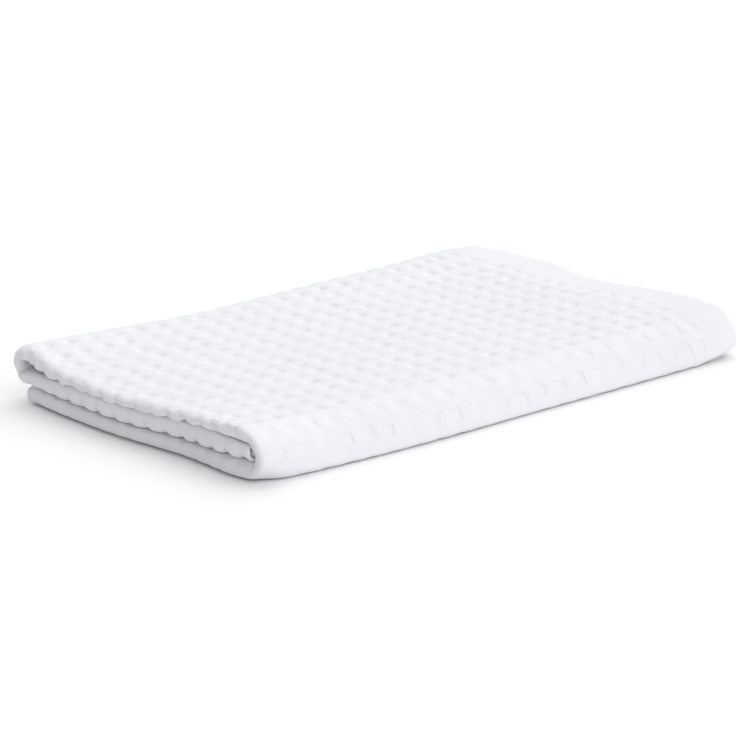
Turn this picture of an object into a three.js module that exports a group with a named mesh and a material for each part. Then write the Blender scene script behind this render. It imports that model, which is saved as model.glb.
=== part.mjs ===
// A waffle-woven cotton bath towel, lying folded: halved twice along its length, then turned over
// in thirds across its width, so that twelve sheets of one cloth lie on each other.
//
// Millimetres, +Z up. The origin is under the middle of the folded towel, on the surface that it
// lies on. +X runs along the folded length, from the doubled fold to the hems, and -Y is the side
// of the one large fold that wraps the whole height.

import * as THREE from "three";

// The cloth as it is cut
const TOWEL_LENGTH = 1400;
const TOWEL_WIDTH = 700;
const CLOTH = 1.8; // one sheet over its ridges, pressed a little by the pile
const AIR = 0.5; // room between two sheets
const SHEET_STEP = CLOTH + AIR;

// Four sheets make a layer, and three layers make the folded towel.
const SHEETS = 4;
const LAYERS = 3;
const LAYER_AIR = 0.6; // room between two layers
const LAYER = SHEETS * SHEET_STEP - AIR;
const LAYER_STEP = LAYER + LAYER_AIR;
const HEIGHT = LAYERS * LAYER_STEP - LAYER_AIR;

// Across the length: the two turns nest at the doubled end, and one turn lies between the hems.
const WIDE_TURN = 1.5 * SHEET_STEP; // from the innermost sheet to the outermost
const TIGHT_TURN = 0.5 * SHEET_STEP; // between neighbouring sheets
const TOP_HEM_LEAD = 2; // the outermost hem reaches past the turn between the hems
const SECOND_HEM_LAG = 2; // and the hem under it stops short
const TURNS_LENGTH = Math.PI * (WIDE_TURN + 2 * TIGHT_TURN);
const RUN = (TOWEL_LENGTH - TURNS_LENGTH + SECOND_HEM_LAG - TOP_HEM_LEAD) / SHEETS;
const DOUBLED_END = WIDE_TURN + CLOTH / 2; // how far the doubled fold stands past its centre
const FOLDED_LENGTH = DOUBLED_END + RUN + TOP_HEM_LEAD;
const TURN_CENTRE_X = DOUBLED_END - FOLDED_LENGTH / 2;

// Across the width: the large fold in front, the small one behind, and what each layer takes.
const FRONT_RADIUS = LAYER_STEP;
const BACK_RADIUS = LAYER_STEP / 2;
const BOTTOM_SHORTFALL = 5; // the bottom layer's edge stops short of the back fold's centre
const MIDDLE_SHORTFALL = 4; // the tucked edge stops short of the front fold's centre
const FOLD_CENTRES =
  (TOWEL_WIDTH - Math.PI * (FRONT_RADIUS + BACK_RADIUS) + BOTTOM_SHORTFALL + MIDDLE_SHORTFALL) / LAYERS;
const FOLDED_DEPTH = FOLD_CENTRES + FRONT_RADIUS + BACK_RADIUS + LAYER;
const FRONT_Y = FRONT_RADIUS + LAYER / 2 - FOLDED_DEPTH / 2;
const BACK_Y = FRONT_Y + FOLD_CENTRES;

// How the pile lies, at stations along its length from the doubled end.
// loop: height of the hollow inside the back fold. back, middle, front: height of the top there.
// nose: how far the front fold stands out. backIn: how far the back fold is drawn in.
// lean: how far the front fold's top is pushed back and its foot forward. round: how far both are back.
const LIE = [
  { at: 0, loop: 5, back: 27, middle: 23.7, front: 28, nose: -5, backIn: 0, lean: 1, round: 7 },
  { at: 0.04, loop: 4.4, back: 27.4, middle: 24.2, front: 26.8, nose: -5, backIn: 0.6, lean: 4, round: 2 },
  { at: 0.14, loop: 3.2, back: 28, middle: 24.8, front: 24.5, nose: -5.9, backIn: 2, lean: 7.5, round: 0 },
  { at: 0.32, loop: 1.5, back: 28, middle: 24.8, front: 24.1, nose: -4.1, backIn: 4, lean: 8, round: 0 },
  { at: 0.5, loop: 2, back: 28.3, middle: 25.2, front: 23.9, nose: -5.3, backIn: 4, lean: 8, round: 0 },
  { at: 0.68, loop: 3, back: 28.2, middle: 25.2, front: 23.9, nose: -5.9, backIn: 2.5, lean: 8, round: 0 },
  { at: 0.88, loop: 4.5, back: 28, middle: 26, front: 24.7, nose: -5.7, backIn: 0.5, lean: 6.7, round: 0 },
  { at: 1, loop: 5, back: 28, middle: 23.5, front: 25, nose: -5, backIn: 1, lean: 2, round: 0 },
];
const LOOP_REACH = 45; // the top layer comes down from the loop over this distance
const LEAN_REACH = 75; // the lean of the front fades out over this distance
const FRONT_FOOT = 3; // squareness of the front fold's lower half; 2 is round

// How the two ends wander, at stations across the depth from the front.
// doubledOut: the doubled end stands out. hemsOut: the hem end stands out.
const ENDS = [
  { across: 0.0, doubledOut: -2.0, hemsOut: -14.0 },
  { across: 0.12, doubledOut: 0.0, hemsOut: -4.5 },
  { across: 0.32, doubledOut: -1.5, hemsOut: 3.0 },
  { across: 0.56, doubledOut: 2.0, hemsOut: -4.0 },
  { across: 0.78, doubledOut: 1.0, hemsOut: 3.0 },
  { across: 1.0, doubledOut: -2.0, hemsOut: -17.0 },
];
const END_REACH = 90; // an end's wander fades out over this distance

// The lowest hem is drawn back at its front corner, and this fades out over three lengths.
const CORNER_BACK = 17;
const CORNER_REACH = { x: 45, y: 60, z: 7 };

// Facets
const STRAIGHT_STEPS = 8; // along the length
const WIDE_TURN_STEPS = 6;
const TIGHT_TURN_STEPS = 4;
const LAYER_STEPS = 7; // across the width, in each layer
const FOLD_STEPS = 8;

const COTTON = new THREE.MeshStandardMaterial({ color: 0xf2f3f5, roughness: 0.95, metalness: 0 });

// A smooth value of one column between the rows of a table, with level ends.
function columnAt(table, key, column, share) {
  const last = table.length - 1;
  const place = Math.min(Math.max(share, 0), 1);
  let row = 0;
  while (row < last - 1 && place > table[row + 1][key]) row += 1;
  const slopeAt = (k) => {
    const below = table[Math.max(k - 1, 0)];
    const above = table[Math.min(k + 1, last)];
    return k === 0 || k === last ? 0 : (above[column] - below[column]) / (above[key] - below[key]);
  };
  const start = table[row];
  const end = table[row + 1];
  const gap = end[key] - start[key];
  const t = (place - start[key]) / gap;
  const bend = t * t * (3 - 2 * t);
  const leave = t * (1 - t) * (1 - t) * gap * slopeAt(row);
  const arrive = t * t * (1 - t) * gap * slopeAt(row + 1);
  return start[column] + (end[column] - start[column]) * bend + leave - arrive;
}

function ease(t) {
  const share = Math.min(Math.max(t, 0), 1);
  return share * share * (3 - 2 * share);
}

// Even shares from 0 to 1, drawn closer together towards both ends.
function closerAtEnds(step, steps) {
  return (1 - Math.cos((Math.PI * step) / steps)) / 2;
}

const alongOf = (x) => x / FOLDED_LENGTH + 0.5;
const acrossOf = (y) => y / FOLDED_DEPTH + 0.5;

// The line of one sheet through the four sheets of a layer. x runs along the folded length and
// level from the layer's middle outwards; sideX and sideLevel point to the cloth's outer face.
function lengthwiseLine() {
  const line = [];
  const straight = (fromX, toX, level) => {
    const heading = Math.sign(toX - fromX);
    for (let k = 0; k <= STRAIGHT_STEPS; k++) {
      const x = fromX + (toX - fromX) * closerAtEnds(k, STRAIGHT_STEPS);
      line.push({ x, level, sideX: 0, sideLevel: heading, heading });
    }
  };
  const turn = (centreX, centreLevel, radius, steps, out, rise) => {
    const heading = -out * rise;
    for (let k = 1; k < steps; k++) {
      const angle = (Math.PI * k) / steps - Math.PI / 2;
      const x = centreX + out * radius * Math.cos(angle);
      const level = centreLevel + rise * radius * Math.sin(angle);
      line.push({
        x,
        level,
        sideX: -rise * Math.cos(angle),
        sideLevel: -out * Math.sin(angle),
        heading,
      });
    }
  };
  const turnEnd = TURN_CENTRE_X + RUN;
  straight(turnEnd - SECOND_HEM_LAG, TURN_CENTRE_X, TIGHT_TURN);
  turn(TURN_CENTRE_X, 0, TIGHT_TURN, TIGHT_TURN_STEPS, -1, -1);
  straight(TURN_CENTRE_X, turnEnd, -TIGHT_TURN);
  turn(turnEnd, -SHEET_STEP, TIGHT_TURN, TIGHT_TURN_STEPS, 1, -1);
  straight(turnEnd, TURN_CENTRE_X, -WIDE_TURN);
  turn(TURN_CENTRE_X, 0, WIDE_TURN, WIDE_TURN_STEPS, -1, 1);
  straight(TURN_CENTRE_X, turnEnd + TOP_HEM_LEAD, WIDE_TURN);
  return line;
}

// The stations of the fold in thirds, from the bottom layer's edge to the tucked one.
function crosswiseStations() {
  const stations = [];
  const layer = (name, heading) => {
    for (let k = 0; k <= LAYER_STEPS; k++) {
      stations.push({ name, share: closerAtEnds(k, LAYER_STEPS), heading });
    }
  };
  const fold = (name, heading) => {
    for (let k = 1; k < FOLD_STEPS; k++) {
      stations.push({ name, share: k / FOLD_STEPS, heading });
    }
  };
  layer("bottom", -1);
  fold("front", 1);
  layer("top", 1);
  fold("back", -1);
  layer("middle", -1);
  return stations;
}

// Where a station's layer middle lies in Y and Z, and which way is out, for a place along the length.
function crosswiseAt(station, loop) {
  const bottomZ = LAYER / 2;
  const middleZ = bottomZ + LAYER_STEP;
  const topZ = middleZ + LAYER_STEP;
  const share = station.share;
  const swing = Math.PI * (share - 0.5);
  if (station.name === "bottom") {
    const edgeY = BACK_Y - BOTTOM_SHORTFALL;
    return { y: edgeY + (FRONT_Y - edgeY) * share, z: bottomZ, outY: 0, outZ: -1 };
  }
  if (station.name === "front") {
    const power = swing < 0 ? FRONT_FOOT : 2;
    const out = Math.abs(Math.cos(swing)) ** (2 / power);
    const rise = Math.sign(swing) * Math.abs(Math.sin(swing)) ** (2 / power);
    const faceOut = out ** (power - 1);
    const faceRise = Math.sign(rise) * Math.abs(rise) ** (power - 1);
    const size = Math.hypot(faceOut, faceRise);
    return {
      y: FRONT_Y - FRONT_RADIUS * out,
      z: middleZ + FRONT_RADIUS * rise,
      outY: -faceOut / size,
      outZ: faceRise / size,
    };
  }
  if (station.name === "top") {
    const y = FRONT_Y + FOLD_CENTRES * share;
    return { y, z: topZ + loop * ease(1 - (BACK_Y - y) / LOOP_REACH), outY: 0, outZ: 1 };
  }
  if (station.name === "back") {
    const radius = BACK_RADIUS + loop / 2;
    const outY = Math.cos(swing);
    const outZ = -Math.sin(swing);
    return { y: BACK_Y + radius * outY, z: middleZ + radius + radius * outZ, outY, outZ };
  }
  const tuckY = FRONT_Y + MIDDLE_SHORTFALL;
  return { y: BACK_Y + (tuckY - BACK_Y) * share, z: middleZ, outY: 0, outZ: -1 };
}

// Blends from one value in front, over one in the middle, to one behind.
function overDepth(front, middle, back, across) {
  const pastMiddle = 2 * across - 1;
  const side = pastMiddle > 0 ? back : front;
  return middle + (side - middle) * ease(Math.abs(pastMiddle));
}

// The pile's own unevenness: its height, its sides, the lean of its front and its wandering ends.
function settled(x, y, z) {
  const across = acrossOf(y);
  const lie = (column) => columnAt(LIE, "at", column, alongOf(x));
  const height = overDepth(lie("front"), lie("middle"), lie("back"), across);
  const sideways = overDepth(-lie("nose"), 0, -lie("backIn"), across);
  const nearDoubled = ease(1 - (x + FOLDED_LENGTH / 2) / END_REACH);
  const nearHems = ease(1 - (FOLDED_LENGTH / 2 - x) / END_REACH);
  const doubled = nearDoubled * columnAt(ENDS, "across", "doubledOut", across);
  const hems = nearHems * columnAt(ENDS, "across", "hemsOut", across);
  const cornerX = ease(1 - (FOLDED_LENGTH / 2 - x) / CORNER_REACH.x);
  const cornerY = ease(1 - (FOLDED_DEPTH / 2 + y) / CORNER_REACH.y);
  const corner = CORNER_BACK * cornerX * cornerY * ease(1 - z / CORNER_REACH.z);
  const rise = (2 * z) / HEIGHT - 1;
  const nearFront = ease(1 - (y + FOLDED_DEPTH / 2) / LEAN_REACH);
  const leaned = nearFront * (lie("lean") * rise + lie("round") * rise * rise);
  return new THREE.Vector3(x - doubled + hems - corner, y + sideways + leaned, (z * height) / HEIGHT);
}

// The closed skin of the folded cloth: its two faces, and the strips along its four edges.
function foldedCloth() {
  const line = lengthwiseLine();
  const stations = crosswiseStations();
  const rows = line.length;
  const columns = stations.length;
  const points = [];
  for (const face of [1, -1]) {
    for (const spot of line) {
      const x = spot.x + (face * CLOTH * spot.sideX) / 2;
      const level = spot.level + (face * CLOTH * spot.sideLevel) / 2;
      const loop = columnAt(LIE, "at", "loop", alongOf(x));
      for (const station of stations) {
        const at = crosswiseAt(station, loop);
        const point = settled(x, at.y + level * at.outY, at.z + level * at.outZ);
        points.push(point.x, point.y, point.z);
      }
    }
  }
  const outer = (row, column) => row * columns + column;
  const inner = (row, column) => rows * columns + outer(row, column);
  const triangles = [];
  const quad = (a, b, c, d, slant) => {
    if (slant) triangles.push(a, b, c, a, c, d);
    else triangles.push(a, b, d, b, c, d);
  };
  for (let row = 0; row < rows - 1; row++) {
    for (let column = 0; column < columns - 1; column++) {
      // Sheets that lie on each other are split along the same diagonal, so that they nest.
      const slant = line[row].heading * stations[column].heading > 0;
      const corners = [
        [row, column],
        [row + 1, column],
        [row + 1, column + 1],
        [row, column + 1],
      ];
      const [a, b, c, d] = corners.map((corner) => outer(...corner));
      const [e, f, g, h] = corners.map((corner) => inner(...corner));
      quad(a, b, c, d, slant);
      quad(e, h, g, f, slant);
    }
  }
  for (let row = 0; row < rows - 1; row++) {
    const far = columns - 1;
    quad(outer(row + 1, 0), outer(row, 0), inner(row, 0), inner(row + 1, 0), true);
    quad(outer(row, far), outer(row + 1, far), inner(row + 1, far), inner(row, far), true);
  }
  for (let column = 0; column < columns - 1; column++) {
    const far = rows - 1;
    quad(outer(0, column), outer(0, column + 1), inner(0, column + 1), inner(0, column), true);
    quad(outer(far, column + 1), outer(far, column), inner(far, column), inner(far, column + 1), true);
  }
  const geometry = new THREE.BufferGeometry();
  geometry.setAttribute("position", new THREE.Float32BufferAttribute(points, 3));
  geometry.setIndex(triangles);
  geometry.computeBoundingBox();
  const middleOfBox = geometry.boundingBox.getCenter(new THREE.Vector3());
  geometry.translate(-middleOfBox.x, -middleOfBox.y, 0);
  geometry.computeVertexNormals();
  return geometry;
}

const towel = new THREE.Mesh(foldedCloth(), COTTON);
towel.name = "towel";

const folded = new THREE.Group();
folded.add(towel);

export default folded;
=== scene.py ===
# %% [markdown]
# # A waffle towel, folded and laid down
#
# The object is one piece of cotton cloth, 70 by 140 cm, woven in deep square cells. It lies folded:
# halved twice along its length, then turned in thirds across its width. In this lesson the flat cloth
# gets two coordinates, one along its length and one across its width, and every step is a small formula
# on them: first the folds, then the uneven lie of the pile, then the cells of the weave, and last the
# yarn, which is left to the material. Sizes are in millimetres, as on a cutting table, and turn into
# metres when the mesh is made.

# %% Load the fixed frame
import math

import bpy
import numpy as np
from mathutils import Matrix, Vector


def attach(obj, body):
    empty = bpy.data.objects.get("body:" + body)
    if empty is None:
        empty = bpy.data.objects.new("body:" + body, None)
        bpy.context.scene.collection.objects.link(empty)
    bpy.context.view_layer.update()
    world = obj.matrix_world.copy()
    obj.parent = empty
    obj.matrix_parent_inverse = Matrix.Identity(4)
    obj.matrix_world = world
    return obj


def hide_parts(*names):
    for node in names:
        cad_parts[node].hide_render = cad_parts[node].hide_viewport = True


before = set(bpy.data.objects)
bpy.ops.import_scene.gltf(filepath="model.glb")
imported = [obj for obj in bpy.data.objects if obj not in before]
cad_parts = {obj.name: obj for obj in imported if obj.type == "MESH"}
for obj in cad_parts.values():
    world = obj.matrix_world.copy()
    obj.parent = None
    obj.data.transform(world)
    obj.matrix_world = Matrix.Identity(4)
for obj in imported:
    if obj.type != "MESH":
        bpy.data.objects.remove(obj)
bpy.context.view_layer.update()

MM = 0.001

# %% [markdown]
# ## The camera
#
# The camera stands low in front of the doubled end, far off, with a long lens. The even lattice of the
# weave is as good as a measuring grid, so its place, its turn and the slight roll were worked out from
# the rows of cells. A long lens keeps the far rows nearly as large as the near ones.

# %% Place the camera
PICTURE_PIXELS = 736
FOCAL_PIXELS = 2700
SENSOR = 36.0  # Blender's sensor width, in its own millimetres
CAMERA_PLACE = (-0.9087, -1.1802, 0.405)
CAMERA_AZIMUTH = math.radians(37.15)  # from +Y towards +X
CAMERA_DROP = math.radians(15.04)  # below the horizon
CAMERA_ROLL = math.radians(-3.01)
FARTHEST = 50.0  # metres that the camera sees


def make_camera():
    level = math.cos(CAMERA_DROP)
    forward = Vector(
        (math.sin(CAMERA_AZIMUTH) * level, math.cos(CAMERA_AZIMUTH) * level, -math.sin(CAMERA_DROP))
    )
    right = Vector((math.cos(CAMERA_AZIMUTH), -math.sin(CAMERA_AZIMUTH), 0))
    down = forward.cross(right)
    rolled_right = math.cos(CAMERA_ROLL) * right - math.sin(CAMERA_ROLL) * down
    rolled_down = math.sin(CAMERA_ROLL) * right + math.cos(CAMERA_ROLL) * down
    turn = Matrix((rolled_right, -rolled_down, -forward)).transposed()
    camera = bpy.data.objects.new("camera", bpy.data.cameras.new("camera"))
    camera.data.sensor_width = SENSOR
    camera.data.lens = SENSOR * FOCAL_PIXELS / PICTURE_PIXELS
    camera.data.clip_end = FARTHEST
    camera.matrix_world = Matrix.Translation(CAMERA_PLACE) @ turn.to_4x4()
    bpy.context.scene.collection.objects.link(camera)
    bpy.context.scene.camera = camera
    return camera


camera = make_camera()
print("lens", round(camera.data.lens, 1), "mm")

# %% [markdown]
# ## The cloth and its folds in numbers
#
# Four sheets make a layer, and three layers make the pile. A fold needs room: the outer sheet goes
# round a wider turn than the inner one, so the length that a run of cloth has left is what remains
# after the turns have taken theirs. All sizes of the pile follow from the cut size and the thickness.

# %% Cloth, sheets and layers
TOWEL_LENGTH = 1400.0
TOWEL_WIDTH = 700.0
CLOTH = 1.8  # one sheet over its ridges, pressed a little by the pile
AIR = 0.5  # room between two sheets
SHEETS = 4
LAYERS = 3
LAYER_AIR = 0.6  # room between two layers
SHEET_STEP = CLOTH + AIR
LAYER = SHEETS * SHEET_STEP - AIR
LAYER_STEP = LAYER + LAYER_AIR
HEIGHT = LAYERS * LAYER_STEP - LAYER_AIR

WIDE_TURN = 1.5 * SHEET_STEP  # radius from the innermost sheet to the outermost
TIGHT_TURN = 0.5 * SHEET_STEP  # radius between neighbouring sheets
TOP_HEM_LEAD = 2.0  # the outermost hem reaches past the turn between the hems
SECOND_HEM_LAG = 2.0  # and the hem under it stops short
TURNS_LENGTH = math.pi * (WIDE_TURN + 2 * TIGHT_TURN)
RUN = (TOWEL_LENGTH - TURNS_LENGTH + SECOND_HEM_LAG - TOP_HEM_LEAD) / SHEETS
DOUBLED_END = WIDE_TURN + CLOTH / 2
FOLDED_LENGTH = DOUBLED_END + RUN + TOP_HEM_LEAD
TURN_CENTRE_X = DOUBLED_END - FOLDED_LENGTH / 2

FRONT_RADIUS = LAYER_STEP
BACK_RADIUS = LAYER_STEP / 2
BOTTOM_SHORTFALL = 5.0  # the bottom layer's edge stops short of the back fold's centre
MIDDLE_SHORTFALL = 4.0  # the tucked edge stops short of the front fold's centre
FOLDS_LENGTH = math.pi * (FRONT_RADIUS + BACK_RADIUS)
FOLD_CENTRES = (TOWEL_WIDTH - FOLDS_LENGTH + BOTTOM_SHORTFALL + MIDDLE_SHORTFALL) / LAYERS
FOLDED_DEPTH = FOLD_CENTRES + FRONT_RADIUS + BACK_RADIUS + LAYER
FRONT_Y = FRONT_RADIUS + LAYER / 2 - FOLDED_DEPTH / 2
BACK_Y = FRONT_Y + FOLD_CENTRES
print("folded:", round(FOLDED_LENGTH), "by", round(FOLDED_DEPTH), "by", round(HEIGHT, 1), "mm")

# %% [markdown]
# ## How the pile lies
#
# Nobody folds a towel into a perfect brick. The back fold stands up at both corners and sags between
# them, the front fold leans back like the nose of a stair, and the hem end rolls off and wavers. These
# are large, slow shapes, so a short table is enough: a few stations along the pile, a few across it,
# and a smooth curve through each column. Noise would give unevenness too, but not this unevenness.

# %% Tables of the lie
LIE_COLUMNS = ("along", "loop", "back", "middle", "front", "front_out", "back_in", "lean", "round")
LIE = np.array([  # share of the length, hollow behind, three heights, two sides, lean and bulge of the front
    (0.00, 5.0, 27.0, 23.7, 28.0, -5.0, 0.0, 1.0, 7.0),
    (0.04, 4.4, 27.4, 24.2, 26.8, -5.0, 0.6, 4.0, 2.0),
    (0.14, 3.2, 28.0, 24.8, 24.5, -5.9, 2.0, 7.5, 0.0),
    (0.32, 1.5, 28.0, 24.8, 24.1, -4.1, 4.0, 8.0, 0.0),
    (0.50, 2.0, 28.3, 25.2, 23.9, -5.3, 4.0, 8.0, 0.0),
    (0.68, 3.0, 28.2, 25.2, 23.9, -5.9, 2.5, 8.0, 0.0),
    (0.88, 4.5, 28.0, 26.0, 24.7, -5.7, 0.5, 6.7, 0.0),
    (1.00, 5.0, 28.0, 23.5, 25.0, -5.0, 1.0, 4.2, -2.2),
])
LEAN_REACH = 75.0  # the lean of the front fades out over this distance
LOOP_REACH = 45.0  # the top layer comes down from the hollow over this distance

ENDS_COLUMNS = ("across", "doubled_out", "hems_out")
ENDS = np.array([  # share of the depth from the front, how far each end stands out
    (0.00, -2.0, -14.0),
    (0.12, 0.0, -4.5),
    (0.32, -1.5, 3.0),
    (0.56, 2.0, -4.0),
    (0.78, 1.0, 3.0),
    (1.00, -2.0, -17.0),
])
END_REACH = 90.0  # an end's wander fades out over this distance
print("stations along the pile:", len(LIE), "and across it:", len(ENDS))


# %% Smooth curves through the tables
def ease(t):
    """Goes from 0 to 1 and is level at both ends."""
    share = np.clip(t, 0, 1)
    return share * share * (3 - 2 * share)


def column_at(table, columns, name, share):
    """A smooth curve through one column of a table, level at its two ends."""
    key, value = table[:, 0], table[:, columns.index(name)]
    slope = np.zeros(len(key))
    slope[1:-1] = (value[2:] - value[:-2]) / (key[2:] - key[:-2])
    place = np.clip(share, 0, 1)
    row = np.clip(np.searchsorted(key, place, side="left") - 1, 0, len(key) - 2)
    gap = key[row + 1] - key[row]
    t = (place - key[row]) / gap
    leave = t * (1 - t) ** 2 * gap * slope[row]
    arrive = t**2 * (1 - t) * gap * slope[row + 1]
    return value[row] + (value[row + 1] - value[row]) * ease(t) + leave - arrive


def lie(name, x):
    return column_at(LIE, LIE_COLUMNS, name, x / FOLDED_LENGTH + 0.5)


def end(name, y):
    return column_at(ENDS, ENDS_COLUMNS, name, y / FOLDED_DEPTH + 0.5)


print("the hollow half-way along:", round(float(lie("loop", 0.0)), 1), "mm")

# %% [markdown]
# ## From the even pile to the settled one
#
# One function moves a point of an even pile to its place in the uneven one. All later steps go through
# it, so the layers keep their order. The tables give the large shapes, and three smaller ones are added
# by name: at the doubled end the middle layer springs up against the top one, the bottom layer curls
# off the table there, and the lowest hem is drawn back at its front corner.

# %% Settle a point
LOW_SWELL = 0.7  # the bottom layer's doubled end is thicker than the one it carries
BAND_RISE = 3.2  # the middle layer's doubled end swells up into the top one
BAND_REACH = 30.0  # and this fades out over this distance,
BAND_CORNERS = (50.0, 85.0)  # and towards the front corner and the hollow behind
BAND_LEVELS = (LAYER_STEP, 2 * LAYER_STEP, HEIGHT - CLOTH / 2)  # strongest between the two layers
FOOT_RISE = 1.0  # the bottom layer's doubled end curls off the table
FOOT_OUT = 1.2  # and stands out at its foot
FOOT_REACH = 14.0
LIFTED_CORNER = 25.0  # the lowest hem is drawn back this far at its front corner
CORNER_REACH = (45.0, 60.0, 9.0)  # and this fades out over these lengths, in x, y and z


def over_depth(front, middle, back, y):
    """Blends from one value in front, over one in the middle, to one behind."""
    past_middle = 2 * y / FOLDED_DEPTH
    side = np.where(past_middle > 0, back, front)
    return middle + (side - middle) * ease(np.abs(past_middle))


def settled(x, y, z):
    """The place that the uneven lie gives to a point of the even pile."""
    x, y, z = np.broadcast_arrays(x, y, z)
    from_doubled, from_hems = FOLDED_LENGTH / 2 + x, FOLDED_LENGTH / 2 - x
    from_front, from_back = FOLDED_DEPTH / 2 + y, FOLDED_DEPTH / 2 - y
    height = over_depth(lie("front", x), lie("middle", x), lie("back", x), y)
    sideways = over_depth(-lie("front_out", x), 0.0, -lie("back_in", x), y)
    doubled = ease(1 - from_doubled / END_REACH) * end("doubled_out", y)
    hems = ease(1 - from_hems / END_REACH) * end("hems_out", y)

    swell = LOW_SWELL * ease(1 - from_doubled / END_REACH)
    lifted = z + swell * np.sin(math.pi * np.clip(z / (2 * LAYER_STEP), 0, 1)) ** 2
    off_corners = ease(np.stack([from_front, from_back], axis=-1) / BAND_CORNERS)
    band = ease(1 - from_doubled / BAND_REACH) * np.prod(off_corners, axis=-1)
    lifted = lifted + BAND_RISE * band * np.interp(z, BAND_LEVELS, (0, 1, 0))
    foot = ease(1 - from_doubled / FOOT_REACH) * np.clip(1 - z / LAYER_STEP, 0, 1)
    lifted = lifted + FOOT_RISE * foot

    to_corner = ease(1 - np.stack([from_hems, from_front, z], axis=-1) / CORNER_REACH)
    corner = LIFTED_CORNER * np.prod(to_corner, axis=-1)
    rise = 2 * z / HEIGHT - 1
    leaned = ease(1 - from_front / LEAN_REACH) * (lie("lean", x) * rise + lie("round", x) * rise**2)
    placed_x = x - doubled + hems - corner - FOOT_OUT * foot
    return np.stack([placed_x, y + sideways + leaned, lifted * height / HEIGHT], axis=-1)


front_to_back = FOLDED_DEPTH * np.array([-0.25, 0.0, 0.25])
print("heights half-way along:", np.round(settled(0.0, front_to_back, HEIGHT)[:, 2], 1), "mm")

# %% [markdown]
# ## A soft half turn
#
# Both kinds of fold are half turns, but not round ones: the weight of the pile presses a fold flat, so
# its face stands nearly straight between two tighter corners. A superellipse does this with one number,
# its squareness: 2 is a circle, larger numbers come closer to a box, and smaller ones to a point. Each
# half of a turn has its own, so the front fold can be square on the table and round above. The table
# holds the place and the facing of the turn by its length, because cloth keeps its length when bent.

# %% The half turn as a table
TURN_SAMPLES = 801


def half_turn(low, high):
    """A half turn of radius 1 from below to above, with a squareness for each of its halves."""
    angle = np.linspace(-math.pi / 2, math.pi / 2, TURN_SAMPLES)
    power = np.where(angle < 0, low, high)
    out = np.abs(np.cos(angle)) ** (2 / power)
    rise = np.sign(angle) * np.abs(np.sin(angle)) ** (2 / power)
    face_out, face_rise = out ** (power - 1), np.sign(rise) * np.abs(rise) ** (power - 1)
    size = np.hypot(face_out, face_rise)
    length = np.concatenate([[0], np.cumsum(np.hypot(np.diff(out), np.diff(rise)))])
    return np.stack([length, out, rise, face_out / size, face_rise / size])


def on_turn(table, share):
    """Out, rise and the two parts of the facing, at a share of the turn's length."""
    return [np.interp(share * table[0, -1], table[0], column) for column in table[1:]]


ROUND_TURN = half_turn(2, 2)
BAND_TURN = half_turn(5.0, 2.0)  # the wide turn at the doubled end, square on its inner side
NOSE_TURN = half_turn(1.3, 5.0)  # the same turn where it goes round the front, drawn to a sharp lip
FRONT_TURN = half_turn(6.0, 1.9)  # the front fold, pressed on the table
BACK_TURN = half_turn(2.2, 2.2)
print("front fold is", round(FRONT_TURN[0, -1] / math.pi, 3), "times as long as a round one")

# %% [markdown]
# ## Halved twice: the line through four sheets
#
# Seen from the side, the cloth runs back and forth: from the second sheet round a tight turn to the
# third, round another at the hem end to the innermost, and then round all of them in one wide turn to
# the outermost sheet, which is the one that shows. Each sample keeps its place along the pile (x), its
# level in the layer, the direction of the cloth's outer face, and how much of the weave shows there.
# The outermost run is sampled about eleven times in each cell; the hidden runs need only a few samples.
# The same line is made a second time with a sharp lip, for the corner where the front fold ends.

# %% Sample the cloth along its length
CELL = 14.55  # one cell of the weave along the length, from pit to pit
BORDER = 25.2  # plain woven band along each hem
FINE_STEP = CELL / 11.5
PLAIN_STEP = 3.0
HIDDEN_STEPS = 11
WIDE_TURN_STEPS = 14
TIGHT_TURN_STEPS = 5
END_TURN_STEPS = 7


def straight(start_x, end_x, level, steps, show):
    """Samples of a straight run: x, level, the two parts of the facing, and how much weave shows."""
    share = np.linspace(0, 1, steps + 1)
    heading = np.sign(end_x - start_x)
    x = start_x + (end_x - start_x) * share
    flat = np.ones_like(x)
    return np.stack([x, level * flat, 0 * flat, heading * flat, show * flat], axis=1)


def turn(table, centre_x, centre_level, radius, steps, side, rise, show):
    """The same for a half turn, without its two ends, which belong to the straight runs."""
    share = np.linspace(0, 1, steps + 1)[1:-1]
    out, up, face_out, face_up = on_turn(table, share)
    x = centre_x + side * radius * out
    level = centre_level + rise * radius * up
    return np.stack([x, level, -rise * face_out, -side * face_up, show + 0 * x], axis=1)


def line_through_sheets(wide_turn):
    turn_end = TURN_CENTRE_X + RUN
    hem_x = turn_end + TOP_HEM_LEAD
    border_x = hem_x - BORDER
    fine = round((border_x - TURN_CENTRE_X) / FINE_STEP)
    plain = round(BORDER / PLAIN_STEP)
    return np.concatenate([
        straight(turn_end - SECOND_HEM_LAG, TURN_CENTRE_X, TIGHT_TURN, HIDDEN_STEPS, 0),
        turn(ROUND_TURN, TURN_CENTRE_X, 0, TIGHT_TURN, TIGHT_TURN_STEPS, -1, -1, 0),
        straight(TURN_CENTRE_X, turn_end, -TIGHT_TURN, HIDDEN_STEPS, 0),
        turn(ROUND_TURN, turn_end, -SHEET_STEP, TIGHT_TURN, END_TURN_STEPS, 1, -1, 0),
        straight(turn_end, TURN_CENTRE_X, -WIDE_TURN, HIDDEN_STEPS, 0),
        turn(wide_turn, TURN_CENTRE_X, 0, WIDE_TURN, WIDE_TURN_STEPS, -1, 1, 1),
        straight(TURN_CENTRE_X, border_x, WIDE_TURN, fine, 1),
        straight(border_x, hem_x, WIDE_TURN, plain, 1)[1:],
    ])


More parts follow.
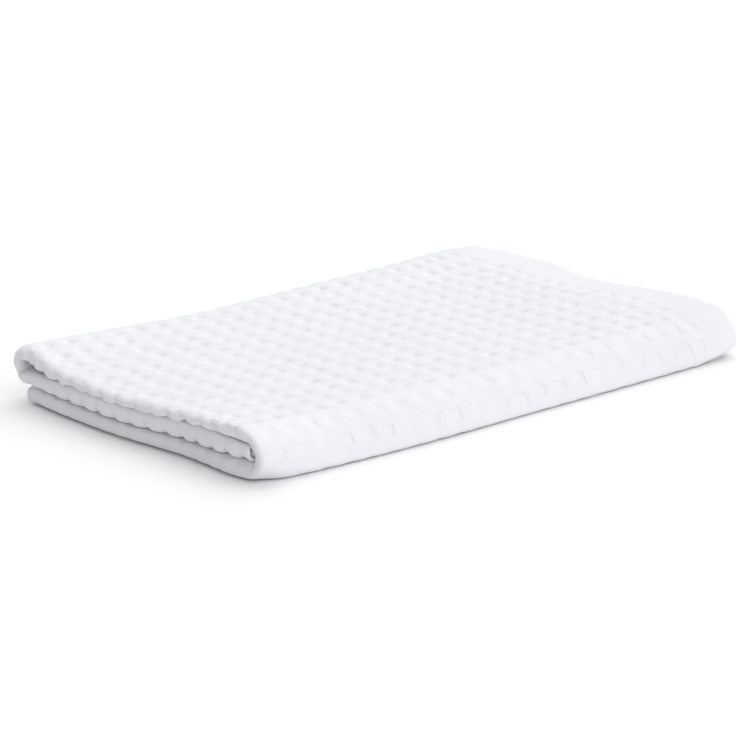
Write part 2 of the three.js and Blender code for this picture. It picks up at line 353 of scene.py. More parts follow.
line = line_through_sheets(BAND_TURN)
nose_line = line_through_sheets(NOSE_TURN)
line_x, line_level, _, _, line_show = line.T
cloth_along = np.concatenate([[0], np.cumsum(np.hypot(np.diff(line_x), np.diff(line_level)))])
cloth_along *= TOWEL_LENGTH / cloth_along[-1]
print("samples along the cloth:", len(line))

# %% [markdown]
# ## Turned in thirds: the stations across the width
#
# Across the width the layer runs from the bottom layer's edge to the front, up round the large fold,
# back over the top, down round the small fold and forward again between the other two. The tucked edge
# is drawn a little deeper into the front fold, which it fills.

# %% Sample the cloth across its width
CELL_ACROSS = 14.8  # a cell is a little wider than long
FINE_STEP_ACROSS = CELL_ACROSS / 9.5
BOTTOM_STEP = CELL_ACROSS / 5
TUCKED_STEP = CELL_ACROSS / 7
TUCK = 7.0
LEGS = (  # name, length on the outermost sheet, step
    ("bottom", FOLD_CENTRES - BOTTOM_SHORTFALL, BOTTOM_STEP),
    ("front", FRONT_TURN[0, -1] * FRONT_RADIUS + math.pi * WIDE_TURN, FINE_STEP_ACROSS),
    ("top", FOLD_CENTRES, FINE_STEP_ACROSS),
    ("back", BACK_TURN[0, -1] * BACK_RADIUS + math.pi * WIDE_TURN, FINE_STEP_ACROSS),
    ("middle", FOLD_CENTRES - MIDDLE_SHORTFALL + TUCK, TUCKED_STEP),
)


def stations_across():
    stations = [("bottom", 0.0)]
    for name, length, step in LEGS:
        steps = round(length / step)
        stations += [(name, k / steps) for k in range(1, steps + 1)]
    return stations


stations = stations_across()
print("samples across the cloth:", len(stations))


# %% Where a layer lies at one station
def fold_at(name, share, loop):
    """Y and Z of a layer's middle, and the way out of it, at one station for each loop height."""
    bottom_z = LAYER / 2
    middle_z = bottom_z + LAYER_STEP
    top_z = middle_z + LAYER_STEP
    still = np.zeros_like(loop)
    if name == "bottom":
        edge_y = BACK_Y - BOTTOM_SHORTFALL
        return edge_y + (FRONT_Y - edge_y) * share + still, bottom_z + still, 0.0, -1.0
    if name == "front":
        out, rise, face_out, face_rise = on_turn(FRONT_TURN, share)
        y, z = FRONT_Y - FRONT_RADIUS * out, middle_z + FRONT_RADIUS * rise
        return y + still, z + still, -face_out, face_rise
    if name == "top":
        y = FRONT_Y + FOLD_CENTRES * share
        return y + still, top_z + loop * ease(1 - (BACK_Y - y) / LOOP_REACH), 0.0, 1.0
    if name == "back":
        radius = BACK_RADIUS + loop / 2
        out, rise, face_out, face_rise = on_turn(BACK_TURN, 1 - share)
        return BACK_Y + radius * out, middle_z + radius * (1 + rise), face_out, face_rise
    tuck_y = FRONT_Y + MIDDLE_SHORTFALL - TUCK
    return BACK_Y + (tuck_y - BACK_Y) * share + still, middle_z + still, 0.0, -1.0


foremost_y = fold_at("front", 0.5, np.zeros(1))[0][0]
print("foremost point of the layer's middle: y =", round(foremost_y, 1), "mm")

# %% [markdown]
# ## Measuring the cloth on its folds
#
# On the outside of a fold the cloth is longer than in the layer's middle, and the lean of the front
# changes its length again. So the coordinate that carries the weave is not reckoned but measured, like
# a tape laid over the finished pile half-way along. Then the cells stay square where they go round the
# front.

# %% Lay a tape across the outermost sheet
TAPE_X = 0.0


def tape():
    """Y and Z along the outermost sheet, from the bottom layer's edge to the tucked edge."""
    x = np.array([TAPE_X])
    spots = []
    for name, share in stations:
        y, z, out_y, out_z = fold_at(name, share, lie("loop", x))
        level = WIDE_TURN + CLOTH / 2
        spots.append(settled(x, y + level * out_y, z + level * out_z)[0, 1:])
    return np.array(spots)


tape_line = tape()
cloth_across = np.concatenate([[0], np.cumsum(np.hypot(*np.diff(tape_line, axis=0).T))])
print("round the outside:", round(cloth_across[-1]), "mm")

# %% [markdown]
# ## Plump and thin ends
#
# At the doubled end the cloth springs open, so the bands that show there press against each other. The
# hollow in the back fold is open at its mouth and closes like a scoop, so light falls into it. Only the
# inner half of a layer can swell, because its outer half is already where the outline is. At the other
# end the plain borders are thinner than the waffle, so the outer face sinks there and the end rolls off.

# %% Swell one end of a layer and thin the other
END_PLUMP = 0.07  # share by which the inner half grows at the doubled end
LOOP_PLUMP = 0.45  # and inside the hollow of the back fold
LOOP_THIN = 0.4  # share by which the top layer shrinks at the mouth of the hollow
SCOOP_LENGTH = 12.0  # the hollow closes over this length
PLUMP_LENGTH = 70.0  # the swelling fades out over this length
HEM_TAPER = 0.15  # share by which a layer thins towards its hems
TAPER_LENGTH = 32.0


def plumped(name, level, x, y):
    """The level in a layer after one end has swelled and the other has thinned."""
    at_end = ease(1 - (x - TURN_CENTRE_X) / PLUMP_LENGTH)
    past_mouth = x - (TURN_CENTRE_X - WIDE_TURN)
    inside = ease(past_mouth / SCOOP_LENGTH)
    thin = LOOP_THIN if name in ("top", "back") else 0.0
    at_loop = ease(1 - (BACK_Y - y) / LOOP_REACH) * (LOOP_PLUMP * inside - thin * (1 - inside))
    level = np.where(level < 0, level * (1 + at_end * (END_PLUMP + at_loop)), level)
    at_hems = np.clip(1 - (FOLDED_LENGTH / 2 - x) / TAPER_LENGTH, 0, 1) ** 2
    return (level + LAYER / 2) * (1 - HEM_TAPER * at_hems) - LAYER / 2


at_mouth = plumped("top", -WIDE_TURN, TURN_CENTRE_X, BACK_Y)
print("innermost sheet at the hollow:", round(float(at_mouth), 2), "mm instead of", round(-WIDE_TURN, 2))

# %% [markdown]
# ## The cells of the weave
#
# A waffle weave draws the yarns together into square pits with broad soft ridges between them. Each cell
# here is a rounded square pit with a sloping wall. No two cells are alike: the weave is a little out of
# square, rows waver, and depth, size and place differ from cell to cell, all from one seeded table. This
# could be a bump in the material, but the pits have to show along the edges too, so they are geometry.

# %% Sizes of the cells, and a seeded table
SEED = 20
ROW_ON_TOP = 85.5  # one row of pits lies at this y on the top
ROWS_SKEW = 0.0125  # the weave is drawn a little out of square
PIT_DEPTH = 1.15
PIT_HALF = 0.33  # share of a cell
PIT_SQUARENESS = 3.0
RIDGE_RISE = 0.2
RIDGE_START = 0.4  # share of the way from a pit's middle to the cell's edge
ROW_WANDER = 0.12  # share of a cell
WANDER_CELLS = 5.0
DEPTH_SPREAD = (0.65, 1.25)  # share of the even depth, and of the even size
SIZE_SPREAD = (0.85, 1.1)
PLACE_SPREAD = 0.07  # share of a cell
SLOW_GRID = 64
SLOW_START = 8  # keeps all places on the grid above zero
WANDER_A, WANDER_B, SWELLS, FINE = range(4)  # four slow patterns on that grid
CELLS_ALONG = int(TOWEL_LENGTH / CELL) + 2
CELLS_ACROSS = int(cloth_across[-1] / CELL_ACROSS) + 2

rng = np.random.default_rng(SEED)
cell_depth = rng.uniform(*DEPTH_SPREAD, (CELLS_ALONG, CELLS_ACROSS))
cell_size = rng.uniform(*SIZE_SPREAD, (CELLS_ALONG, CELLS_ACROSS))
cell_shift = rng.uniform(-PLACE_SPREAD, PLACE_SPREAD, (2, CELLS_ALONG, CELLS_ACROSS))
slow_values = rng.uniform(-1, 1, (FINE + 1, SLOW_GRID, SLOW_GRID))
print("cells of the weave:", CELLS_ALONG, "by", CELLS_ACROSS)


# %% Heights of one cell and its neighbours
def slow(pattern, a, b, size):
    """A seeded wander between -1 and 1 over the cloth, one bump in about size cells."""
    u, v = a / size + SLOW_START, b / size + SLOW_START
    i, j = np.floor(u).astype(int), np.floor(v).astype(int)
    s, t = ease(u - i), ease(v - j)
    value = slow_values[pattern]
    next_i, next_j = (i + 1) % SLOW_GRID, (j + 1) % SLOW_GRID
    i, j = i % SLOW_GRID, j % SLOW_GRID
    low = value[i, j] * (1 - s) + value[next_i, j] * s
    high = value[i, next_j] * (1 - s) + value[next_i, next_j] * s
    return low * (1 - t) + high * t


on_top = [k for k, (name, _) in enumerate(stations) if name == "top"]
row_across = np.interp(ROW_ON_TOP, tape_line[on_top, 0], cloth_across[on_top])
first_row = row_across % CELL_ACROSS


def cells_at(along, across):
    """The cloth's two coordinates counted in cells, whole numbers in the middle of each pit."""
    skew = ROWS_SKEW * (across - cloth_across[-1] / 2)
    return (TOWEL_LENGTH - along - BORDER + skew) / CELL - 0.5, (across - first_row) / CELL_ACROSS


def wandered(a, b):
    """The same coordinates on rows that waver a little."""
    aside_a, aside_b = slow(WANDER_A, a, b, WANDER_CELLS), slow(WANDER_B, a, b, WANDER_CELLS)
    return a + ROW_WANDER * aside_a, b + ROW_WANDER * aside_b


def waffle(a, b, level_floor):
    """Height of the outer face over the sheet's even one, with this share of each pit level."""
    wide_a, wide_b = wandered(a, b)
    column, row = np.round(wide_a), np.round(wide_b)
    i = np.clip(column.astype(int), 0, CELLS_ALONG - 1)
    j = np.clip(row.astype(int), 0, CELLS_ACROSS - 1)
    half = PIT_HALF * cell_size[i, j]
    pit_a = np.abs(wide_a - column + cell_shift[0, i, j]) / half
    pit_b = np.abs(wide_b - row + cell_shift[1, i, j]) / half
    reach = (pit_a**PIT_SQUARENESS + pit_b**PIT_SQUARENESS) ** (1 / PIT_SQUARENESS)
    pit = ease((1 - reach) / (1 - level_floor))
    from_pit = 2 * np.maximum(np.abs(wide_a - column), np.abs(wide_b - row))
    ridge = ease((from_pit - RIDGE_START) / (1 - RIDGE_START))
    return RIDGE_RISE * ridge - PIT_DEPTH * cell_depth[i, j] * pit


SHOWN_CELL = 20.0  # any cell will do
one_cell = np.linspace(SHOWN_CELL, SHOWN_CELL + 1, 5)
same_row = np.full_like(one_cell, SHOWN_CELL)
print("heights from one pit to the next:", np.round(waffle(one_cell, same_row, 0.0), 2), "mm")

# %% [markdown]
# ## Where the relief is full, flat or gone
#
# The cells are deepest where the cloth lies free on top. Round the front the cloth is drawn tight and the
# pits flatten; under the pile the ridges are pressed flat. Towards the hems the weave changes to a plain
# band without pits. Where the doubled end shows its bands, each row of cells leaves a soft dent across
# them. A little slow unevenness and some fine lumps keep every face from being perfect.

# %% Plain edges, swells, lumps and dents
SELVEDGE = 6.0  # plain edge along each long side, in mm
BORDER_FADE = 4.0  # the waffle begins over this length
PUFF = 0.3  # slow unevenness, and how many cells one swell covers
PUFF_CELLS = 2.6
LUMPS = 0.1  # fine lumps
LUMP_CELLS = 0.23
EDGE_LUMPS = {"top": 6.0, "back": 4.0}  # how much larger the lumps are along the doubled end
EDGE_LENGTH = 14.0  # and this fades out over this length
BAND_DENT = {"bottom": 0.9, "front": 0.2, "top": 0.2, "back": 0.3, "middle": 0.28}  # at the doubled end
DENT_SPREAD = 0.5  # dents differ by up to this share
TUCKED_CELLS = 3.0  # the tucked layer shows its weave this far in from the doubled end
print("dents at the doubled end:", BAND_DENT)

# %% Shares for each leg, at its start, its middle and its end
STRENGTH = {  # share of the relief
    "bottom": (0.5, 0.5, 0.4),
    "front": (0.2, 0.15, 0.6),
    "top": (1.0, 1.0, 1.0),
    "back": (1.0, 0.7, 1.0),
    "middle": (1.0, 1.0, 1.0),
}
PIT_FLOOR = {  # share of each pit that is level: drawn tight over the front, pits turn into shallow boxes
    "bottom": (0.5, 0.5, 0.5),
    "front": (0.3, 0.3, 0.2),
    "top": (0.15, 0.15, 0.15),
    "back": (0.15, 0.15, 0.15),
    "middle": (0.15, 0.15, 0.15),
}
PRESSED = {  # share of the ridges that is pressed away
    "bottom": (1.0, 1.0, 1.0),
    "front": (1.0, 0.0, 0.0),
    "top": (0.0, 0.0, 0.0),
    "back": (0.0, 0.0, 0.5),
    "middle": (0.5, 0.5, 0.5),
}
TIGHT = {  # how tight the cloth is drawn, which leaves only the thin rims of the pits
    "bottom": (0.0, 0.0, 0.0),
    "front": (0.0, 1.0, 0.3),
    "top": (0.0, 0.0, 0.0),
    "back": (0.0, 0.0, 0.0),
    "middle": (0.0, 0.0, 0.0),
}
print("legs:", list(STRENGTH))


# %% Relief of one station
def over_leg(table, name, share):
    """One leg's value from a table of shares, at a share of the leg's length."""
    start, half, stop = table[name]
    return np.interp(share, (0, 0.5, 1), (start, half, stop))


def woven_at(along, across):
    """Share of the waffle: none on the two plain borders; the one on top follows the skew of the cells."""
    past_border = (cells_at(along, across)[0] + 0.5) * CELL
    return ease(past_border / BORDER_FADE) * ease((along - BORDER) / BORDER_FADE)


def relief(name, share, across):
    """Height of the outer face over an even sheet, for all samples along one station."""
    a, b = cells_at(cloth_along, across)
    woven = woven_at(cloth_along, across)
    edge = ease(across / SELVEDGE) * ease((cloth_across[-1] - across) / SELVEDGE)
    cells = waffle(a, b, over_leg(PIT_FLOOR, name, share))
    rough = EDGE_LUMPS.get(name, 0) * ease(1 - np.abs(line_x - TURN_CENTRE_X) / EDGE_LENGTH)
    lumps = LUMPS * (1 + rough) * slow(FINE, a, b, LUMP_CELLS)
    height = woven * edge * cells + PUFF * slow(SWELLS, a, b, PUFF_CELLS) + lumps
    at_turn = np.sqrt(np.clip((TURN_CENTRE_X - line_x) / WIDE_TURN, 0, 1))
    dent = BAND_DENT[name] * (1 + DENT_SPREAD * slow(WANDER_B, a, b, PUFF_CELLS))
    height = height - dent * at_turn * edge * np.cos(2 * math.pi * wandered(a, b)[1])
    height = height - over_leg(PRESSED, name, share) * np.maximum(height, 0)
    if name == "middle":
        height = height * ease(TUCKED_CELLS - (line_x - TURN_CENTRE_X) / CELL)
    return line_show * over_leg(STRENGTH, name, share) * height


one_row = relief("top", 0.5, row_across)
print("relief along one row of pits:", round(one_row.min(), 2), "to", round(one_row.max(), 2), "mm")

# %% [markdown]
# ## From two faces to one closed cloth
#
# The cloth gets an outer face with every sample and an inner face with only a few, because the inner one
# hardly shows. A rounded strip closes the edge all the way round, through hems and selvedges. Where a fine
# row of points meets a coarse one, the strip between them is sewn like a gathered seam: it steps along
# both rows at once, and always takes the next point on the row that is behind.

# %% Lay out the points
EDGE_ROUND = 0.7  # how far the edge bulges, as a share of half the thickness
NOSE_REACH = 30.0  # the sharp lip of the front fold fades out over this distance
rows, columns = len(line), len(stations)


def nose_share(name, share):
    """How much of the sharp lip there is: all of it round the front fold, less and less beyond."""
    past = {"bottom": FOLD_CENTRES * (1 - share), "front": 0.0, "top": FOLD_CENTRES * share}
    return ease(1 - past.get(name, NOSE_REACH) / NOSE_REACH)


def face_points(offset):
    """Points of the cloth at an offset from its middle, one row for each sample along the length."""
    points = np.zeros((rows, columns, 3))
    for column, (name, share) in enumerate(stations):
        lift = offset(name, share, cloth_across[column])
        nose = nose_share(name, share)
        at_x, at_level, face_x, face_level, _ = ((1 - nose) * line + nose * nose_line).T
        x = at_x + lift * face_x
        y, z, out_y, out_z = fold_at(name, share, lie("loop", x))
        level = plumped(name, at_level + lift * face_level, x, y)
        points[:, column] = settled(x, y + level * out_y, z + level * out_z)
    return points


outer = face_points(lambda name, share, across: CLOTH / 2 + relief(name, share, across))
inner = face_points(lambda name, share, across: -CLOTH / 2)
middle = face_points(lambda name, share, across: 0.0)
print("box of the cloth's middle:", np.round(np.ptp(middle.reshape(-1, 3), axis=0), 1))

# %% Choose which samples each face keeps
TUCKED_SPARSE = 9
UNDER_SPARSE = 3
INNER_ROWS = 3
INNER_COLUMNS = 4


def thinned(numbers, step):
    picked = list(numbers[::step])
    return picked if picked[-1] == numbers[-1] else picked + [numbers[-1]]


hidden = (line_show > 0) & (line_x > TURN_CENTRE_X + TUCKED_CELLS * CELL)
open_rows = np.flatnonzero(~hidden)
tucked_rows = np.unique(np.concatenate([open_rows, thinned(np.flatnonzero(hidden), TUCKED_SPARSE)]))
under_rows = np.unique(np.concatenate([open_rows, thinned(np.flatnonzero(hidden), UNDER_SPARSE)]))
rows_of = {"bottom": under_rows, "middle": tucked_rows}
outer_rows = [rows_of.get(name, np.arange(rows)) for name, _ in stations]
inner_rows = thinned(tucked_rows, INNER_ROWS)
inner_columns = thinned(np.arange(columns), INNER_COLUMNS)
print("inner face:", len(inner_rows), "by", len(inner_columns))


# %% Sew two rows of points
def sew(left, right):
    """Faces between two rows of (position, point number): quads where the positions agree."""
    faces, i, j = [], 0, 0
    while i + 1 < len(left) or j + 1 < len(right):
        next_left = left[i + 1][0] if i + 1 < len(left) else math.inf
        next_right = right[j + 1][0] if j + 1 < len(right) else math.inf
        a, b = left[i][1], right[j][1]
        if next_left == next_right:
            i, j = i + 1, j + 1
            faces.append((a, left[i][1], right[j][1], b))
        elif next_left < next_right:
            i += 1
            faces.append((a, left[i][1], b))
        else:
            j += 1
            faces.append((a, right[j][1], b))
    return faces


sample = sew([(0, 0), (1, 1), (2, 2)], [(0, 3), (2, 4)])
print("three points sewn to two:", sample)

# %% Number the points and make the mesh
PILE_MIDDLE = (0.526, 1.752, 0.0)  # middle of the uneven pile, which lies over the frame's origin


def once_round():
    """Row and column of each point on the outer face's border."""
    return (
        [(r, 0) for r in under_rows]
        + [(rows - 1, c) for c in range(1, columns)]
        + [(r, columns - 1) for r in reversed(tucked_rows[:-1])]
        + [(0, c) for c in range(columns - 2, 0, -1)]
    )


def make_towel():
    border = once_round()
    outer_spots = [(r, c) for c in range(columns) for r in outer_rows[c]]
    inner_spots = [(r, c) for c in inner_columns for r in inner_rows]
    rim = np.array([middle[spot] for spot in border])
    rim[:, 0] += EDGE_ROUND * CLOTH / 2 * np.array([r in (0, rows - 1) for r, _ in border])
    rim[:, 1] += EDGE_ROUND * CLOTH / 2 * np.array([(c == 0) - (c == columns - 1) for _, c in border])
    points = np.concatenate([
        np.array([outer[spot] for spot in outer_spots]),
        np.array([inner[spot] for spot in inner_spots]),
        rim,
    ])
    outer_at = {spot: k for k, spot in enumerate(outer_spots)}
    inner_at = {spot: len(outer_spots) + k for k, spot in enumerate(inner_spots)}
    rim_start = len(outer_spots) + len(inner_spots)

    faces = []
    outer_lists = [[(r, outer_at[r, c]) for r in outer_rows[c]] for c in range(columns)]
    inner_lists = [[(r, inner_at[r, c]) for r in inner_rows] for c in inner_columns]
    for here, there in zip(outer_lists, outer_lists[1:]):
        faces += sew(here, there)
    for here, there in zip(inner_lists, inner_lists[1:]):
        faces += sew(there, here)
    around = list(enumerate(border)) + [(len(border), border[0])]
    outer_edge = [(k, outer_at[spot]) for k, spot in around]
    rim_edge = [(k, rim_start + k % len(border)) for k, _ in around]
    inner_edge = [(k, inner_at[spot]) for k, spot in around if spot in inner_at]
    faces += sew(rim_edge, outer_edge) + sew(inner_edge, rim_edge)
    return points, faces, np.array(outer_spots + inner_spots + border)


points, faces, spots = make_towel()
points -= PILE_MIDDLE
points[:, 2] = np.maximum(points[:, 2], 0)
mesh = bpy.data.meshes.new("towel_cloth")
mesh.from_pydata(points * MM, [], faces)
mesh.polygons.foreach_set("use_smooth", np.ones(len(mesh.polygons), dtype=bool))
towel = bpy.data.objects.new("towel_cloth", mesh)
bpy.context.scene.collection.objects.link(towel)
mesh.calc_loop_triangles()
print("towel:", len(mesh.vertices), "points,", len(mesh.loop_triangles), "triangles")

# %% [markdown]
# ## Coordinates for the yarn
#
# The material draws the yarn, so it has to know where it is on the flat cloth. Each point carries its two
# coordinates in cells as a UV map, and two numbers: how plain the weave is there, and how tight the cloth.

# %% Write the cloth coordinates
along_of, across_of = cloth_along[spots[:, 0]], cloth_across[spots[:, 1]]
cell_a, cell_b = wandered(*cells_at(along_of, across_of))
corner_points = np.zeros(len(mesh.loops), dtype=np.int32)
mesh.loops.foreach_get("vertex_index", corner_points)
uv = mesh.uv_layers.new(name="cloth")
uv.data.foreach_set("uv", np.stack([cell_a, cell_b], axis=1)[corner_points].astype(np.float32).ravel())
plain = 1 - woven_at(along_of, across_of)
mesh.attributes.new("plain", "FLOAT", "POINT").data.foreach_set("value", plain.astype(np.float32))
tight = np.array([over_leg(TIGHT, *stations[column]) for column in spots[:, 1]]) * (1 - plain)
mesh.attributes.new("tight", "FLOAT", "POINT").data.foreach_set("value", tight.astype(np.float32))
print("cells:", round(cell_a.max() - cell_a.min()), "by", round(cell_b.max() - cell_b.min()))

# %% [markdown]
# ## A helper for node trees
#
# A material is a tree of nodes, and in Python each node and each link takes a line or two. This small
# class adds a node, sets or links its inputs and gives back an output, so that a pattern reads nearly
# like a formula. Drawing the tree by hand in the editor works as well, but a script can be read and rerun.


# %% Add and link nodes
class Nodes:
    """Adds nodes to a tree and links what is given to each input."""

    def __init__(self, tree):
        self.tree = tree

    def add(self, kind, *inputs, **settings):
        node = self.tree.nodes.new(kind)
        for name, value in settings.items():
            setattr(node, name, value)
        for socket, value in zip(node.inputs, inputs):
            self.set(socket, value)
        return node

    def set(self, socket, value):
        if isinstance(value, bpy.types.NodeSocket):
            self.tree.links.new(value, socket)
        elif value is not None:
            socket.default_value = value

    def math(self, operation, *inputs):
        return self.add("ShaderNodeMath", *inputs, operation=operation).outputs[0]

    def noise(self, vector, scale, detail):
        node = self.add("ShaderNodeTexNoise")
        self.set(node.inputs["Vector"], vector)
        self.set(node.inputs["Scale"], scale)
        self.set(node.inputs["Detail"], detail)
        return node.outputs[0]

    def stair(self, value, low, high):
        return self.add("ShaderNodeMapRange", value, low, high, interpolation_type="SMOOTHSTEP").outputs[0]

    def streaks(self, a, b):
        return self.noise(self.add("ShaderNodeCombineXYZ", a, b).outputs[0], scale=1.0, detail=1.0)

    def blend(self, share, low, high):
        return self.add("ShaderNodeMix", share, None, low, high, data_type="FLOAT").outputs[0]

    def mix(self, share, low, high):
        node = self.add("ShaderNodeMix", data_type="RGBA")
        self.set(node.inputs[0], share)
        for socket, value in zip([s for s in node.inputs if s.type == "RGBA"], (low, high)):
            self.set(socket, value)
        return [s for s in node.outputs if s.type == "RGBA"][0]

    def bump(self, height, distance, strength, normal=None):
        node = self.add("ShaderNodeBump")
        self.set(node.inputs["Height"], height)
        self.set(node.inputs["Distance"], distance)
        self.set(node.inputs["Strength"], strength)
        self.set(node.inputs["Normal"], normal)
        return node.outputs[0]


print("node helpers:", [name for name in vars(Nodes) if not name.startswith("_")])

# %% [markdown]
# ## Yarns
#
# The yarns float along the ridges: beside a ridge that runs one way they lie that way, so the pattern of
# yarns changes direction along each cell's diagonals. On the plain border the two sets cross in a fine
# plain weave instead. Noise that is stretched along one coordinate of the cloth gives such streaks.

# %% Streaks of yarn
YARNS_IN_CELL = 20.0
YARN_DRIFT = 2.5  # how often a streak changes along its way, in a cell
YARN_TURN = 6.0  # how sharply the yarns change direction at a diagonal


def yarn_height(nodes, a, b):
    """Streaks of yarn, from 0 to 1: along the ridges, crossing each other on the plain border."""
    along = nodes.streaks(nodes.math("MULTIPLY", a, YARNS_IN_CELL), nodes.math("MULTIPLY", b, YARN_DRIFT))
    across = nodes.streaks(nodes.math("MULTIPLY", a, YARN_DRIFT), nodes.math("MULTIPLY", b, YARNS_IN_CELL))
    beside_a = nodes.math("PINGPONG", a, 0.5)
    beside_b = nodes.math("PINGPONG", b, 0.5)
    lean = nodes.math("MULTIPLY_ADD", nodes.math("SUBTRACT", beside_a, beside_b), YARN_TURN, 0.5)
    plain = nodes.add("ShaderNodeAttribute", attribute_name="plain").outputs["Fac"]
    lean = nodes.add("ShaderNodeClamp", lean).outputs[0]
    lean = nodes.blend(plain, lean, 0.5)
    return nodes.blend(lean, across, along)


print("one yarn:", round(CELL / YARNS_IN_CELL, 2), "mm")

# %% [markdown]
# ## Rims on the tight front
#
# Where the front is drawn tight, a pit is only a faint box with a thin crooked rim on three of its sides,
# and here and there it is gone. The rims are finer than the mesh, so the material adds them as bump.

# %% Rims of the tight pits
RIM_WALL = (0.17, 0.29)  # from a pit's middle to the foot and the top of its wall, in cells
RIM_SOFT_WALL = (0.05, 0.4)  # the same where the cloth is less tight
RIM_TIGHT = (0.6, 0.9)  # how tight the cloth is where one wall changes to the other
RIM_SLOPE = 2.0  # of the fourth side
RIM_BEND = 0.4  # how far the rims wander, in cells
RIM_BEND_SCALE = 1.6
RIM_BEND_DETAIL = 2.0
RIM_FADE = (0.36, 0.62)  # noise below the first number leaves no rim, above the second a full one
RIM_FADE_SCALE = 0.9


def pit_rims(nodes, cloth):
    """Rims of the tight pits, from 0 in a pit to 1 on the ridges: three sides steep, one a long slope."""
    tight = nodes.add("ShaderNodeAttribute", attribute_name="tight").outputs["Fac"]
    crooked = nodes.add("ShaderNodeTexNoise", cloth, None, RIM_BEND_SCALE, RIM_BEND_DETAIL).outputs[1]
    reach = (RIM_BEND, RIM_BEND, 0.0)
    bent = nodes.add("ShaderNodeVectorMath", crooked, reach, cloth, operation="MULTIPLY_ADD")
    apart = nodes.add("ShaderNodeSeparateXYZ", bent.outputs[0])
    a, b = [nodes.math("SUBTRACT", socket, RIM_BEND / 2) for socket in apart.outputs[:2]]
    aside = nodes.math("SUBTRACT", nodes.math("FRACT", nodes.math("ADD", a, 0.5)), 0.5)
    side = nodes.stair(nodes.math("MULTIPLY", aside, -1.0), *RIM_WALL)
    upright = nodes.math("PINGPONG", b, 0.5)
    soft, steep = nodes.stair(upright, *RIM_SOFT_WALL), nodes.stair(upright, *RIM_WALL)
    cross = nodes.blend(nodes.stair(tight, *RIM_TIGHT), soft, steep)
    slope = nodes.math("MULTIPLY", aside, RIM_SLOPE)
    rim = nodes.math("MAXIMUM", nodes.math("MAXIMUM", side, cross), slope)
    clear = nodes.stair(nodes.noise(cloth, RIM_FADE_SCALE, detail=1.0), *RIM_FADE)
    return nodes.math("MULTIPLY", rim, nodes.math("MULTIPLY", tight, clear))


print("a rim's wall:", round((RIM_WALL[1] - RIM_WALL[0]) * CELL, 1), "mm wide")

# %% [markdown]
# ## White cotton
#
# Cotton is matt and a little downy, so the surface is rough, with a soft sheen. Pure white would look like
# paper: the tone wavers a little with the yarns and in faint broad patches, between two cool whites. Rims,
# yarns and down are three bumps in a row, the largest first, and each adds to the one before it.

# %% Cotton material
COTTON_WHITE = (0.803, 0.815, 0.849, 1.0)
COTTON_SHADE = (0.753, 0.765, 0.8, 1.0)
YARN_TONE = 0.45  # share of the yarns in the tone; the patches have the rest
PATCH_SCALE = 45.0
DOWN_SCALE = 1600.0
ROUGH = 0.82
ROUGH_SPREAD = 0.12
SPECULAR = 0.2
SHEEN = 0.2
SHEEN_ROUGH = 0.6
RIM_HEIGHT = 0.45 * MM
RIM_STRENGTH = 1.0
YARN_HEIGHT = 0.1 * MM
YARN_STRENGTH = 0.55
DOWN_HEIGHT = 0.12 * MM
DOWN_STRENGTH = 0.5


def cotton_material():
    material = bpy.data.materials.new("white_cotton")
    material.use_nodes = True
    tree = material.node_tree
    nodes = Nodes(tree)
    shader = tree.nodes["Principled BSDF"]
    place = nodes.add("ShaderNodeTexCoord").outputs["Object"]
    cloth = nodes.add("ShaderNodeUVMap", uv_map="cloth").outputs[0]
    apart = nodes.add("ShaderNodeSeparateXYZ", cloth)
    yarns = yarn_height(nodes, apart.outputs[0], apart.outputs[1])
    down = nodes.noise(place, DOWN_SCALE, detail=3.0)
    patches = nodes.noise(place, PATCH_SCALE, detail=3.0)
    tone = nodes.math("MULTIPLY_ADD", yarns, YARN_TONE, nodes.math("MULTIPLY", patches, 1 - YARN_TONE))
    nodes.set(shader.inputs["Base Color"], nodes.mix(tone, COTTON_SHADE, COTTON_WHITE))
    nodes.set(shader.inputs["Roughness"], nodes.math("MULTIPLY_ADD", down, ROUGH_SPREAD, ROUGH))
    rims = nodes.bump(pit_rims(nodes, cloth), RIM_HEIGHT, RIM_STRENGTH)
    woven = nodes.bump(yarns, YARN_HEIGHT, YARN_STRENGTH, rims)
    nodes.set(shader.inputs["Normal"], nodes.bump(down, DOWN_HEIGHT, DOWN_STRENGTH, woven))
    shader.inputs["Specular IOR Level"].default_value = SPECULAR
    shader.inputs["Sheen Weight"].default_value = SHEEN
    shader.inputs["Sheen Roughness"].default_value = SHEEN_ROUGH
    return material


mesh.materials.append(cotton_material())
print("material:", mesh.materials[0].name, len(mesh.materials[0].node_tree.nodes), "nodes")

# %% [markdown]
# ## Floor and light
#
# A white towel on a white floor shows only by its shade, so the light has to be very even, but not equal
# from all sides. One broad light stands high behind, to the right, and a second one, broader still, low in
# front. Little comes from the left, so the doubled end stays in the shade and a soft shadow lies beside
# it. A broad light reaches round an edge, so the roll of the front fold is hardly brighter than the faces
# beside it, and each pit shows one paler wall and one darker. The floor is just bright enough to be white.

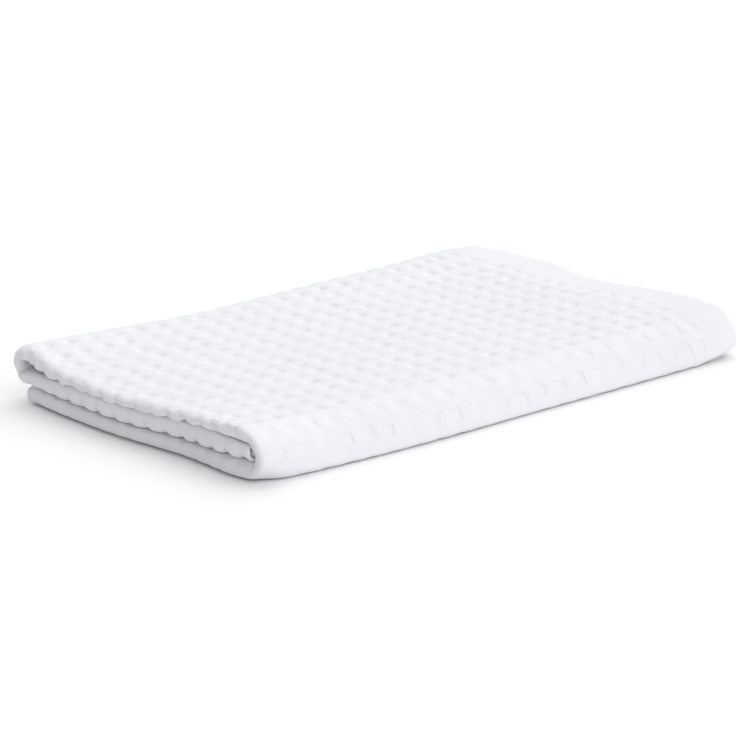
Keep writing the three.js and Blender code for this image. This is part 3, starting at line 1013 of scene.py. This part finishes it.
# %% Floor, sky and two broad lights
FLOOR_SIZE = 30.0  # metres
FLOOR_WHITE = (0.925, 0.925, 0.925, 1.0)
FLOOR_ROUGH = 0.9
FLOOR_SPECULAR = 0.1
SKY_STRENGTH = 0.33
LIGHTS = (  # name, strength, breadth, where it comes from
    ("main_light", 1.95, math.radians(70), Vector((0.45, 0.45, 0.77))),
    ("front_light", 2.2, math.radians(100), Vector((0.15, -0.92, 0.35))),
)


def make_floor():
    half = FLOOR_SIZE / 2
    corners = [(-half, -half, 0), (half, -half, 0), (half, half, 0), (-half, half, 0)]
    sheet = bpy.data.meshes.new("floor")
    sheet.from_pydata(corners, [], [(0, 1, 2, 3)])
    floor = bpy.data.objects.new("floor", sheet)
    bpy.context.scene.collection.objects.link(floor)
    paint = bpy.data.materials.new("pale_floor")
    paint.use_nodes = True
    shader = paint.node_tree.nodes["Principled BSDF"]
    shader.inputs["Base Color"].default_value = FLOOR_WHITE
    shader.inputs["Roughness"].default_value = FLOOR_ROUGH
    shader.inputs["Specular IOR Level"].default_value = FLOOR_SPECULAR
    sheet.materials.append(paint)
    return floor


def make_sky():
    sky = bpy.data.worlds.new("studio")
    sky.use_nodes = True
    background = sky.node_tree.nodes["Background"]
    background.inputs["Color"].default_value = (1, 1, 1, 1)
    background.inputs["Strength"].default_value = SKY_STRENGTH
    bpy.context.scene.world = sky


def make_light(name, strength, breadth, source):
    light = bpy.data.lights.new(name, "SUN")
    light.energy = strength
    light.angle = breadth
    lamp = bpy.data.objects.new(name, light)
    lamp.rotation_mode = "QUATERNION"
    lamp.rotation_quaternion = source.to_track_quat("Z", "Y")
    bpy.context.scene.collection.objects.link(lamp)


floor = make_floor()
make_sky()
for light in LIGHTS:
    make_light(*light)
bpy.context.scene.view_settings.view_transform = "Standard"
print("lights:", [name for name, *_ in LIGHTS])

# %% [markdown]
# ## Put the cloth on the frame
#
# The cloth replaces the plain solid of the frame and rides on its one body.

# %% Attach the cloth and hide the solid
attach(towel, "root")
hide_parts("towel")
